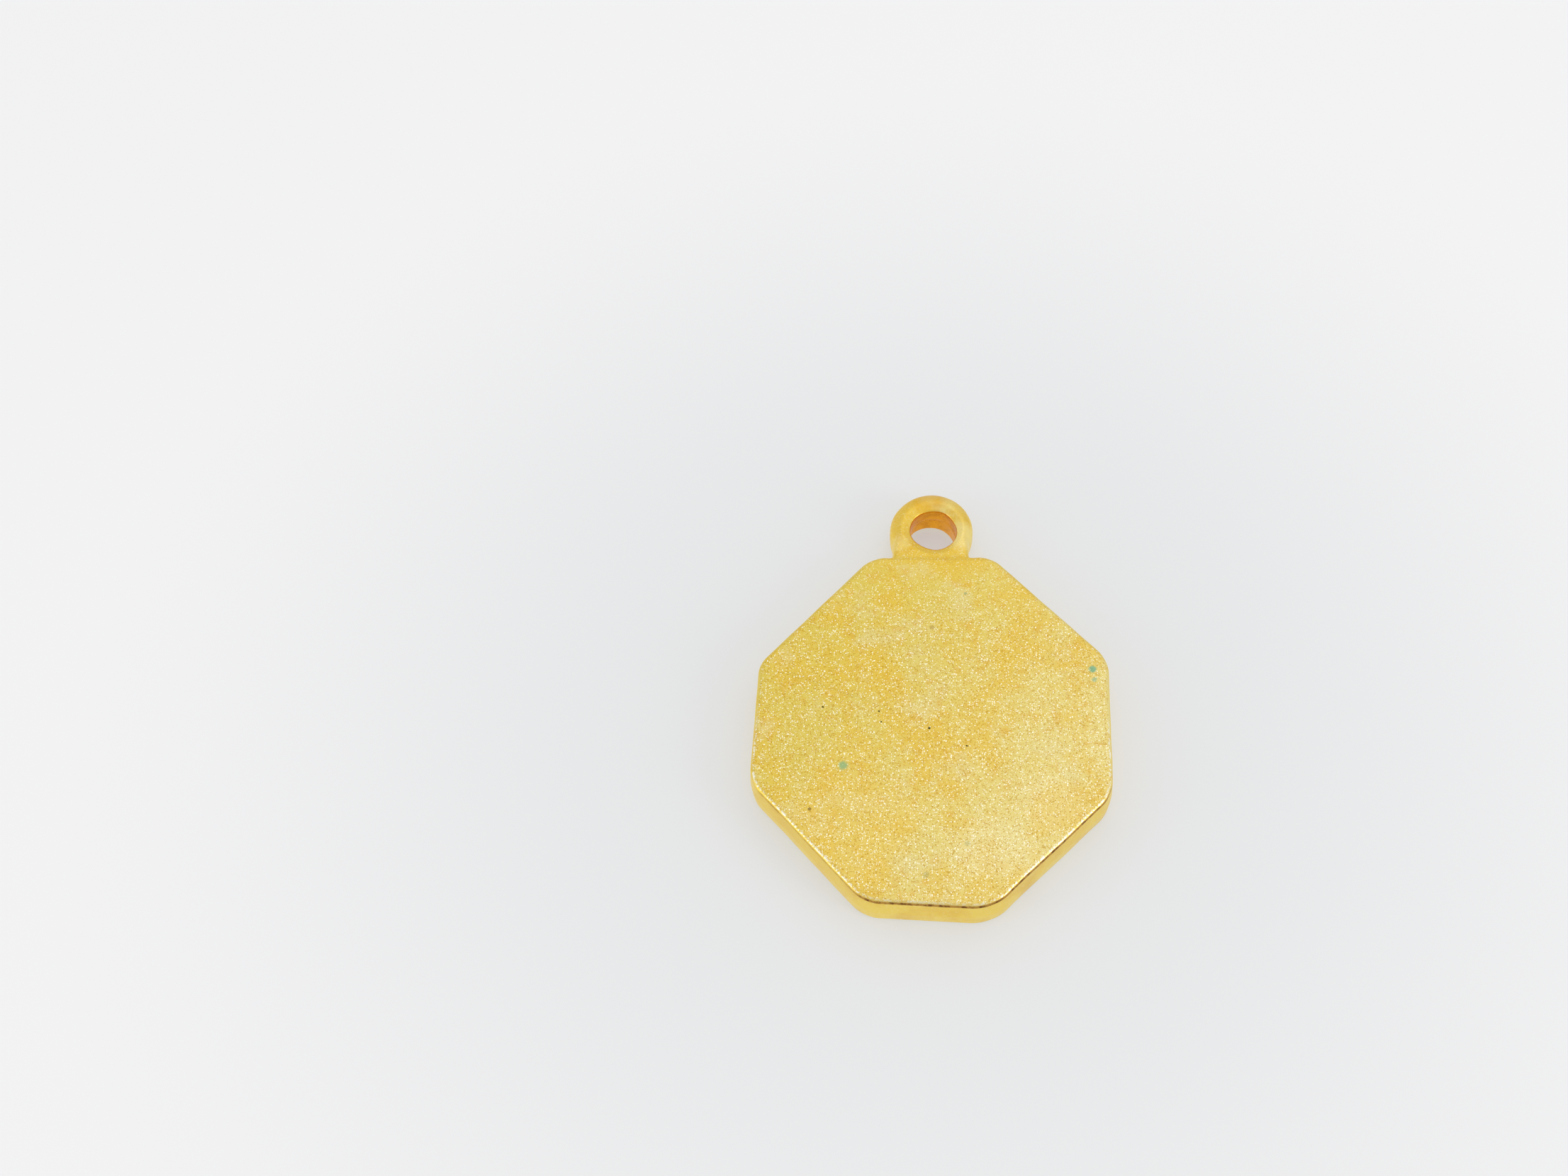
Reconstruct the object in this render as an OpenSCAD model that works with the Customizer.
// A small cast charm, lying face down: an octagonal plate with a hanging eye for a ring or cord.
// Its face carries a raised border, a glory of rays and a standing veiled figure in low relief.
// The origin is the middle of the outline on the surface that it lies on. +Z leaves the plain
// back and +Y points to the eye. All lengths are in millimetres.

/* [Plate] */
// Width over the left and right sides
plate_w = 15; // [13:0.5:22]
// Height of the octagon without its eye
plate_h = 16.4; // [14:0.2:24]
// Length of the straight top and bottom sides, before the corners are rounded
top_w = 5.3; // [4.6:0.1:6.5]
// Length of the left and right sides, before the corners are rounded
side_h = 6.1; // [5:0.1:7.5]
// Radius of the eight corners, seen from above
corner_r = 1.5; // [1.2:0.05:1.8]
// Thickness of the web behind the relief
web_t = 1.05; // [0.8:0.05:2]
// Round along the edge of the back
back_edge_r = 0.22; // [0.1:0.01:0.4]
// How much further out the side stands at the front than at the back
draft = 0.08; // [0.02:0.01:0.2]

/* [Border] */
// Height of the border over the field
border_h = 0.75; // [0.6:0.05:1]
// Width of the border's face
border_w = 0.9; // [0.6:0.05:1.2]
// How far the border's inner side slopes down to the field
border_slope = 0.28; // [0.1:0.02:0.4]
// Round along the outer edge of the border
front_edge_r = 0.2; // [0.1:0.01:0.3]
// Round along the inner edge of the border
lip_r = 0.1; // [0.05:0.01:0.16]

/* [Hanging eye] */
// Outer diameter of the eye
eye_od = 3.8; // [3.4:0.1:5]
// Diameter of the hole
eye_bore = 2.1; // [1.4:0.1:2.4]
// Height of the hole's centre over the top edge of the plate
eye_rise = 1.55; // [1.4:0.05:2.2]
// How far the eye's flat sides lie inside those of the plate
eye_step = 0.05; // [0.02:0.01:0.2]
// Round on the outside of the eye
eye_round = 0.5; // [0.3:0.02:0.55]
// Round at each mouth of the hole
mouth_round = 0.26; // [0.1:0.02:0.3]
// How far each side of the neck lies inside the eye's
neck_in = 0.2; // [0.1:0.05:0.5]
// Hollow fillet where the neck meets the plate
neck_fillet = 0.35; // [0.2:0.05:0.5]

/* [Rays] */
// Number of rays around the figure
ray_count = 40; // [24:4:56]
// Height of a ray at its foot
ray_h = 0.18; // [0.08:0.02:0.3]
// Width of a ray at its foot
ray_w = 0.36; // [0.2:0.02:0.4]
// Clear space between the widest part of the figure and the rays
ray_clear = 0.6; // [0.4:0.05:0.9]
// Clear space between the cloud bank and the rays
cloud_clear = 0.14; // [0.1:0.02:0.4]
// Space between the tips of the long rays and the border
ray_gap = 0.2; // [0.1:0.02:0.4]

/* [Figure] */
// Room over the crown for the halo and rays
crown_room = 1.8; // [1.5:0.05:2.2]
// Room under the hem for the cloud bank
hem_room = 2.1; // [1.8:0.05:2.4]
// How far the highest relief stays below the face of the border
relief_sink = 0.05; // [0.02:0.01:0.2]
// Step that every relief form has at its outline
step_h = 0.07; // [0.03:0.01:0.1]
// Space between the veil and the outer edge of the halo
halo_gap = 0.36; // [0.3:0.02:0.5]
// Width of the halo's band
halo_w = 0.2; // [0.1:0.02:0.26]
// Height of the halo's band
halo_h = 0.22; // [0.1:0.02:0.3]

/* [Hidden] */
gold = "#E3C062";
gold_dark = "#C99A35";
overrun = 1;
arc_steps = 4;
edge_steps = 4;
round_fn = 96;

// Heights and centres that follow from the sizes above
thickness = web_t + border_h;
total_h = plate_h + eye_rise + eye_od / 2;
plate_y = (plate_h - total_h) / 2;
plate_top = plate_y + plate_h / 2;
eye_y = plate_top + eye_rise;
eye_z = thickness / 2;
eye_t = thickness - 2 * eye_step;
neck_w = eye_od - 2 * neck_in;

// The octagon's corners, going round from the right side, and the direction that each side faces
cut_run = (plate_w - top_w) / 2;
cut_rise = (plate_h - side_h) / 2;
cut_angle = atan2(cut_run, cut_rise);
side_angles = [0, cut_angle, 90, 180 - cut_angle, 180, 180 + cut_angle, 270, 360 - cut_angle, 360];
half_w = plate_w / 2;
half_h = plate_h / 2;
corners = [
    [half_w, half_h - cut_rise], [half_w - cut_run, half_h],
    [cut_run - half_w, half_h], [-half_w, half_h - cut_rise],
    [-half_w, cut_rise - half_h], [cut_run - half_w, -half_h],
    [half_w - cut_run, -half_h], [half_w, cut_rise - half_h]
];
function facing(a) = [cos(a), sin(a)];
function bisector(i) =
    let (p = facing(side_angles[i]), q = facing(side_angles[i + 1])) (p + q) / (1 + p * q);

// One turn round the plate at a height, moved in from the outline by an inset
function outline(inset, z) = let (r = max(corner_r - inset, lip_r)) [
    for (i = [0:7], k = [0:arc_steps])
        let (a = side_angles[i] + (side_angles[i + 1] - side_angles[i]) * k / arc_steps,
             p = corners[i] - (inset + r) * bisector(i) + r * facing(a))
        [p.x, p.y + plate_y, z]
];

// Inset and height up the side wall: a round at the front, the drafted side, and a round at the back
function wall_inset(z) = draft * (z - front_edge_r) / (thickness - front_edge_r);
front_round = [for (k = [0:edge_steps]) let (a = 90 * k / edge_steps)
    [front_edge_r * (1 - sin(a)), front_edge_r * (1 - cos(a))]];
back_round = [for (k = [0:edge_steps]) let (a = 90 * k / edge_steps, z = thickness - back_edge_r)
    [wall_inset(z) + back_edge_r * (1 - cos(a)), z + back_edge_r * sin(a)]];
parting = [wall_inset(border_h), border_h];

// Faces between a stack of turns of n points each; the last turn joins the first if it is closed
function bands(m, n, closed) = [for (i = [0:closed ? m - 1 : m - 2], j = [0:n - 1])
    let (a = i * n + j, b = i * n + (j + 1) % n, c = (a + n) % (m * n), d = (b + n) % (m * n))
    each [[a, c, b], [b, c, d]]];

// Closed solid through a stack of turns, with a flat end at each side
module skin(turns) {
    n = len(turns[0]);
    m = len(turns);
    polyhedron(
        points = [for (t = turns) each t],
        faces = concat(
            [[for (j = [0:n - 1]) j]],
            bands(m, n, false),
            [[for (j = [n - 1:-1:0]) (m - 1) * n + j]]
        ));
}

// Closed solid through turns that come back to the first one, as round a frame
module skin_frame(turns) {
    polyhedron(points = [for (t = turns) each t], faces = bands(len(turns), len(turns[0]), true));
}

module back_plate() {
    color(gold) skin([for (p = concat([parting], back_round)) outline(p[0], p[1])]);
}

module border_rim() {
    lip = [for (k = [0:edge_steps]) let (a = 90 * k / edge_steps)
        [border_w - lip_r * (1 - sin(a)), lip_r * (1 - cos(a))]];
    up_wall = concat([parting], [for (k = [edge_steps:-1:0]) front_round[k]]);
    section = concat(up_wall, lip, [[border_w + border_slope, border_h]]);
    color(gold) skin_frame([for (p = section) outline(p[0], p[1])]);
}

// Radii of the eye, whose rounds are limited by its wall
eye_r = eye_od / 2;
bore_r = eye_bore / 2;
outer_round_share = 0.6;
inner_round_share = 0.35;
outer_round = min(eye_round, outer_round_share * (eye_r - bore_r));
inner_round = min(mouth_round, inner_round_share * (eye_r - bore_r));
inner_flat_r = bore_r + inner_round;
outer_flat_r = eye_r - outer_round;

// Quarter of a disc whose round side is turned to the side and the level given by the signs
module quarter(r, side, level) {
    intersection() {
        circle(r = r);
        translate([side < 0 ? -r : 0, level < 0 ? -r : 0]) square(r);
    }
}

// Section through one side of the eye, with the hole's wall at the left, turned about the hole's axis
module eye_ring() {
    rotate_extrude($fn = round_fn) {
        translate([inner_flat_r, -eye_t / 2]) square([outer_flat_r - inner_flat_r, eye_t]);
        translate([bore_r, inner_round - eye_t / 2]) square([inner_round, eye_t - 2 * inner_round]);
        translate([outer_flat_r, outer_round - eye_t / 2]) square([outer_round, eye_t - 2 * outer_round]);
        for (level = [-1, 1]) {
            translate([inner_flat_r, level * (eye_t / 2 - inner_round)]) quarter(inner_round, -1, level);
            translate([outer_flat_r, level * (eye_t / 2 - outer_round)]) quarter(outer_round, 1, level);
        }
    }
}

// Block from inside the plate up into the ring, with the ring's own round along its sides
module neck() {
    flat_w = neck_w / 2 - outer_round;
    flat_t = eye_t / 2 - outer_round;
    difference() {
        rotate([90, 0, 0]) linear_extrude(eye_rise + corner_r) {
            square([neck_w, 2 * flat_t], center = true);
            square([2 * flat_w, eye_t], center = true);
            for (x = [-flat_w, flat_w], y = [-flat_t, flat_t])
                translate([x, y]) circle(r = outer_round, $fn = round_fn);
        }
        cylinder(r = (inner_flat_r + outer_flat_r) / 2, h = eye_t + 2 * overrun, center = true, $fn = round_fn);
    }
}
module neck_fillets() {
    fillet_t = eye_t - 2 * outer_round;
    reach = neck_w / 2 + neck_fillet;
    translate([0, -eye_rise, -fillet_t / 2]) linear_extrude(fillet_t) difference() {
        translate([-reach, -corner_r]) square([2 * reach, corner_r + neck_fillet]);
        for (x = [-reach, reach]) translate([x, neck_fillet]) circle(r = neck_fillet, $fn = round_fn);
    }
}

// The plate's own section along its straight top edge, which the eye's foot is fitted to
module top_edge() {
    side = [for (p = concat(front_round, back_round)) [plate_top - p[0], p[1]]];
    inside = plate_top - corner_r - overrun;
    translate([-plate_w / 2, 0, 0]) rotate([90, 0, 90]) linear_extrude(plate_w)
        polygon(concat(side, [[inside, thickness], [inside, 0]]));
}
module hanging_eye() {
    color(gold) difference() {
        translate([0, eye_y, eye_z]) {
            eye_ring();
            neck();
            neck_fillets();
        }
        top_edge();
    }
}

// Turns what is drawn as the viewer sees it, +Y up, over onto the charm's face
module on_face() {
    translate([0, plate_y, border_h]) rotate([0, 180, 0]) children();
}

// The field's inset from the outline, and the figure's size and place on the field
field_inset = border_w + border_slope;
figure_h = plate_h - 2 * field_inset - crown_room - hem_room;
figure_drop = half_h - field_inset - hem_room;
relief_h = border_h - relief_sink;

// How far the field reaches from the middle of the plate in a direction, and where the rays start:
// on a rounded upright oval that clears the figure's widest part and the cloud bank under it
widest_share = 0.232;
cloud_depth_share = 0.114;
short_ray_share = 0.6;
glory_w = widest_share * figure_h + ray_clear;
glory_h = figure_drop + cloud_depth_share * figure_h + cloud_clear;
oval_power = 3;
function field_reach(a) = min([for (i = [0:7])
    let (q = facing(side_angles[i]), share = q * facing(a))
        if (share > 0) (corners[i] * q - field_inset) / share]);
function glory_reach(a) =
    pow(pow(abs(cos(a)) / glory_w, oval_power) + pow(abs(sin(a)) / glory_h, oval_power), -1 / oval_power);

module ray(foot, tip) {
    polyhedron(
        points = [[foot, -ray_w / 2, 0], [foot, ray_w / 2, 0], [tip, 0, 0], [foot, 0, ray_h]],
        faces = [[0, 2, 1], [0, 1, 3], [1, 2, 3], [2, 0, 3]]);
}
module glory_rays() {
    color(gold_dark) on_face() for (i = [0:ray_count - 1]) {
        a = 360 * (i + 0.5) / ray_count;
        foot = glory_reach(a);
        room = field_reach(a) - ray_gap - foot;
        rotate([0, 0, a]) ray(foot, foot + room * (i % 2 == 0 ? 1 : short_ray_share));
    }
}

// The figure's forms are soft sheets over the field. A place on one is [u, t]: u goes sideways from
// the middle and t goes up from the hem, both as shares of the figure's height. Heights over the
// field are shares of the relief's height. Each table's first column is t.
// Half width of the whole figure
outer_half_shares = [[0, 0.2], [0.03, 0.213], [0.1, 0.222], [0.2, 0.216], [0.32, 0.205], [0.42, 0.208],
    [0.5, 0.222], [0.56, 0.232], [0.62, 0.226], [0.68, 0.205], [0.74, 0.178], [0.79, 0.148], [0.82, 0.118],
    [0.845, 0.1], [0.88, 0.096], [0.92, 0.09], [0.95, 0.076], [0.975, 0.055], [0.99, 0.034], [1, 0.012]];
// Half width of the mantle's opening, where the gown, the sleeves and the face show
inner_half_shares = [[0, 0.128], [0.1, 0.112], [0.25, 0.09], [0.42, 0.074], [0.53, 0.076], [0.58, 0.098],
    [0.66, 0.1], [0.73, 0.078], [0.78, 0.05], [0.805, 0.038], [0.83, 0.048], [0.86, 0.06], [0.89, 0.063],
    [0.92, 0.054], [0.94, 0.036], [0.95, 0.016]];
mantle_rise_shares = [[0, 0.6], [0.2, 0.66], [0.45, 0.76], [0.6, 0.86], [0.7, 0.82], [0.78, 0.62],
    [0.83, 0.66], [0.9, 0.92], [0.96, 0.86], [1, 0.3]];
gown_rise_shares = [[0, 0.7], [0.2, 0.74], [0.42, 0.74], [0.52, 0.62], [0.54, 0.6]];
chest_rise_shares = [[0.56, 0.58], [0.66, 0.7], [0.72, 0.66], [0.78, 0.42], [0.82, 0.4]];
// Levels between the stacked forms, and how far the tables are smoothed
waist_share = 0.535;
belt_share = 0.562;
neck_share = 0.805;
brow_share = 0.95;
smooth_share = 0.012;

function at(t, shares) =
    (lookup(t - smooth_share, shares) + 2 * lookup(t, shares) + lookup(t + smooth_share, shares)) / 4;
function inner_half(t) = t < brow_share ? at(t, inner_half_shares) : 0;
function outer_half(t) = at(t, outer_half_shares);

// How far inside a blob a place lies, as its height from 0 at the edge to 1 in the middle
function dome(d) = sqrt(max(0, 1 - d * d));
function off_line(p, a, b) =
    let (s = (p - a) * (b - a) / ((b - a) * (b - a))) norm(p - a - (b - a) * min(1, max(0, s)));
function limb(p, ends, r) = dome(off_line(p, ends[0], ends[1]) / r);

// Heights of the forms. Folds are round ridges between sharp valleys, and they die out upwards.
mantle_folds = 4;
gown_folds = 3;
fold_share = 0.34;
mantle_fold_top_share = 0.85;
gown_fold_top_share = 0.62;
fold_drift_share = 0.35;
fold_drift_turn = 200;
mantle_edge_power = 4;
gown_edge_power = 3;
gown_edge_share = 0.3;
function ridge(turn) = abs(sin(180 * turn));
function fold_depth(t, top_share) = fold_share * max(0, 1 - t / top_share);

function mantle_rise(t, s) =
    let (across = s * mantle_folds + fold_drift_share * sin(fold_drift_turn * t))
    lookup(t, mantle_rise_shares) * sqrt(1 - pow(s, mantle_edge_power))
        * (1 - fold_depth(t, mantle_fold_top_share) * (1 - ridge(across)));
function gown_rise(t, s) =
    lookup(t, gown_rise_shares) * (1 - gown_edge_share * pow(abs(s), gown_edge_power))
        * (1 - fold_depth(t, gown_fold_top_share) * ridge(s * gown_folds));

// The sleeve is a forearm from the elbow to the wrist, with a cuff that hangs from the wrist
forearm_shares = [[0.16, 0.575], [0.03, 0.655]];
cuff_shares = [[0.03, 0.655], [0.07, 0.592]];
sleeve_r_share = 0.05;
cuff_r_share = 0.036;
cuff_fall_share = 0.8;
chest_half_share = 0.24;
sleeve_foot_share = 0.5;
sleeve_dome_share = 0.45;
function sleeve_rise(p) =
    let (arm = limb(p, forearm_shares, sleeve_r_share), cuff = limb(p, cuff_shares, cuff_r_share))
    max(lookup(p.y, chest_rise_shares) * dome(p.x / chest_half_share),
        sleeve_foot_share + sleeve_dome_share * max(arm, cuff_fall_share * cuff));

// The hands are joined palm to palm, with the fingers up and a seam between them
heel_share = 0.628;
fingertip_share = 0.752;
hand_half_share = 0.03;
hand_tip_half_share = 0.003;
hand_taper_share = 0.2;
hand_tip_power = 3;
hand_tip_round = 0.6;
palm_rise_share = 0.84;
hand_dome_share = 0.16;
hand_dome_half_share = 0.033;
seam_share = 0.12;
seam_half_share = 0.006;
function hand_half(t) =
    let (s = (t - heel_share) / (fingertip_share - heel_share),
         bluntness = pow(max(0, 1 - pow(s, hand_tip_power)), hand_tip_round))
    hand_half_share * bluntness * (1 - hand_taper_share * s) + (t < fingertip_share ? hand_tip_half_share : 0);
function hand_rise(p) =
    palm_rise_share + hand_dome_share * dome(p.x / hand_dome_half_share)
        - seam_share * max(0, 1 - abs(p.x) / seam_half_share);

// The face is an upright oval with a nose and two shallow hollows beside it
face_mid_share = 0.878;
face_half_shares = [0.072, 0.088];
face_foot_share = 0.42;
face_dome_share = 0.4;
nose_shares = [[0, 0.896], [0, 0.868]];
nose_r_share = 0.014;
nose_rise_share = 0.1;
hollow_shares = [[0.026, 0.886], [0.034, 0.885]];
hollow_r_share = 0.014;
hollow_sink_share = 0.07;
function face_rise(p) =
    face_foot_share
        + face_dome_share * dome(norm([p.x / face_half_shares.x, (p.y - face_mid_share) / face_half_shares.y]))
        + nose_rise_share * limb(p, nose_shares, nose_r_share)
        - hollow_sink_share * limb([abs(p.x), p.y], hollow_shares, hollow_r_share);

// A point of the sheet from its place and its rise
function sheet(p, rise) = [p.x * figure_h, p.y * figure_h - figure_drop, max(step_h, relief_h * rise)];

// Closed solid under a sheet, with upright sides and a flat underside. The sheet's rows are straight
// lines seen from above. They follow each other upwards with points from left to right.
module relief(rows) {
    n = len(rows);
    m = len(rows[0]);
    feet = concat(rows[0], rows[n - 1], [for (i = [1:n - 2]) each [rows[i][0], rows[i][m - 1]]]);
    function foot(i, j) = n * m + (i == 0 ? j : i == n - 1 ? m + j : 2 * m + 2 * (i - 1) + (j == 0 ? 0 : 1));
    polyhedron(
        points = concat([for (r = rows) each r], [for (p = feet) [p.x, p.y, 0]]),
        faces = concat(
            [for (i = [0:n - 2], j = [0:m - 2]) let (a = i * m + j)
                each [[a, a + m, a + 1], [a + 1, a + m, a + m + 1]]],
            [for (j = [0:m - 2]) each [[j, j + 1, foot(0, j)], [foot(0, j), j + 1, foot(0, j + 1)]]],
            [for (j = [0:m - 2]) let (a = (n - 1) * m + j)
                each [[a, foot(n - 1, j), a + 1], [a + 1, foot(n - 1, j), foot(n - 1, j + 1)]]],
            [for (i = [0:n - 2]) let (a = i * m, f = foot(i, 0), g = foot(i + 1, 0))
                each [[a, f, a + m], [a + m, f, g]]],
            [for (i = [0:n - 2]) let (a = i * m + m - 1, f = foot(i, m - 1), g = foot(i + 1, m - 1))
                each [[a, a + m, f], [f, a + m, g]]],
            [for (j = [0:m - 2]) [foot(0, j), foot(0, j + 1), foot(1, 0)]],
            [[foot(1, 0), foot(0, m - 1), foot(1, m - 1)]],
            [for (i = [1:n - 3]) each [[foot(i, 0), foot(i, m - 1), foot(i + 1, 0)],
                [foot(i + 1, 0), foot(i, m - 1), foot(i + 1, m - 1)]]],
            [[foot(n - 2, 0), foot(n - 2, m - 1), foot(n - 1, m - 1)]],
            [for (j = [0:m - 2]) [foot(n - 1, j), foot(n - 2, 0), foot(n - 1, j + 1)]]
        ));
}

mantle_rows = 44;
mantle_cols = 13;
module mantle(side) {
    relief([for (i = [0:mantle_rows]) let (t = i / mantle_rows, near = inner_half(t), far = outer_half(t))
        [for (j = [0:mantle_cols])
            let (s = sin(90 * (side > 0 ? j : mantle_cols - j) / mantle_cols), u = near + (far - near) * s)
            sheet([side * u, t], mantle_rise(t, s))]]);
}
module right_mantle() {
    color(gold) on_face() mantle(-1);
}
module left_mantle() {
    color(gold) on_face() mantle(1);
}

gown_rows = 18;
gown_cols = 24;
module gown() {
    color(gold) on_face() relief([for (i = [0:gown_rows]) let (t = waist_share * i / gown_rows)
        [for (j = [0:gown_cols]) let (s = 2 * j / gown_cols - 1)
            sheet([s * inner_half(t), t], gown_rise(t, s))]]);
}

sash_rows = 4;
sash_cols = 12;
sash_share = 0.1;
module sash() {
    color(gold_dark) on_face() relief([for (i = [0:sash_rows])
        let (t = waist_share + (belt_share - waist_share) * i / sash_rows)
        [for (j = [0:sash_cols]) let (s = 2 * j / sash_cols - 1)
            sheet([s * inner_half(t), t], gown_rise(waist_share, s) + sash_share * sin(180 * i / sash_rows))]]);
}

sleeve_rows = 20;
sleeve_cols = 9;
module sleeve(side) {
    relief([for (i = [0:sleeve_rows]) let (t = belt_share + (neck_share - belt_share) * i / sleeve_rows,
            near = t < heel_share ? 0 : hand_half(t), far = inner_half(t))
        [for (j = [0:sleeve_cols])
            let (u = near + (far - near) * (side > 0 ? j : sleeve_cols - j) / sleeve_cols)
            sheet([side * u, t], sleeve_rise([u, t]))]]);
}
module right_sleeve() {
    color(gold) on_face() sleeve(-1);
}
module left_sleeve() {
    color(gold) on_face() sleeve(1);
}

hand_rows = 12;
hand_cols = 10;
module joined_hands() {
    color(gold) on_face() relief([for (i = [0:hand_rows])
        let (t = heel_share + (fingertip_share - heel_share) * i / hand_rows)
        [for (j = [0:hand_cols]) let (p = [hand_half(t) * (2 * j / hand_cols - 1), t])
            sheet(p, hand_rise(p))]]);
}

face_rows = 18;
face_cols = 16;
module face() {
    color(gold) on_face() relief([for (i = [0:face_rows])
        let (t = neck_share + (brow_share - neck_share) * i / face_rows)
        [for (j = [0:face_cols]) let (p = [inner_half(t) * (2 * j / face_cols - 1), t])
            sheet(p, face_rise(p))]]);
}

// The halo is a flat band round the head that stops at the mantle
halo_at_share = 0.885;
head_share = 0.098;
halo_r = head_share * figure_h + halo_gap;
module halo() {
    color(gold_dark) on_face() linear_extrude(halo_h) translate([0, -figure_drop]) difference() {
        translate([0, halo_at_share * figure_h]) circle(r = halo_r, $fn = round_fn);
        translate([0, halo_at_share * figure_h]) circle(r = halo_r - halo_w, $fn = round_fn);
        polygon(figure_h * concat([[0, 0]],
            [for (i = [0:mantle_rows]) let (t = i / mantle_rows) [outer_half(t), t]],
            [for (i = [mantle_rows:-1:0]) let (t = i / mantle_rows) [-outer_half(t), t]]));
    }
}

// The bank of cloud is two rows of round puffs under the hem: sideways place, height and radius
puff_shares = [[0, -0.062, 0.052], [0.08, -0.052, 0.05], [0.15, -0.036, 0.042], [0.186, -0.02, 0.022],
    [0.04, -0.018, 0.034], [0.115, -0.014, 0.034]];
cloud_half_share = 0.206;
cloud_cols = 48;
cloud_rows = 10;
cloud_rise_share = 0.62;
cloud_foot_share = 0.34;
function puff_rise(p) = max([for (c = puff_shares) dome(norm([abs(p.x) - c.x, p.y - c.y]) / c.z)]);
function puff_edges(u, side) =
    [for (c = puff_shares) if (abs(u - c.x) < c.z) c.y + side * c.z * dome((u - c.x) / c.z)];
function puff_low(u) = min(puff_edges(u, -1));
function puff_high(u) = min(0, max(puff_edges(u, 1)));
module cloud_base() {
    color(gold) on_face() relief([for (i = [0:cloud_cols])
        let (u = cloud_half_share * (2 * i / cloud_cols - 1), high = puff_high(abs(u)), low = puff_low(abs(u)))
        [for (j = [0:cloud_rows]) let (p = [u, high + (low - high) * j / cloud_rows])
            sheet(p, cloud_rise_share * (cloud_foot_share + (1 - cloud_foot_share) * puff_rise(p)))]]);
}

back_plate();
border_rim();
hanging_eye();
glory_rays();
halo();
cloud_base();
gown();
sash();
right_sleeve();
left_sleeve();
joined_hands();
face();
right_mantle();
left_mantle();
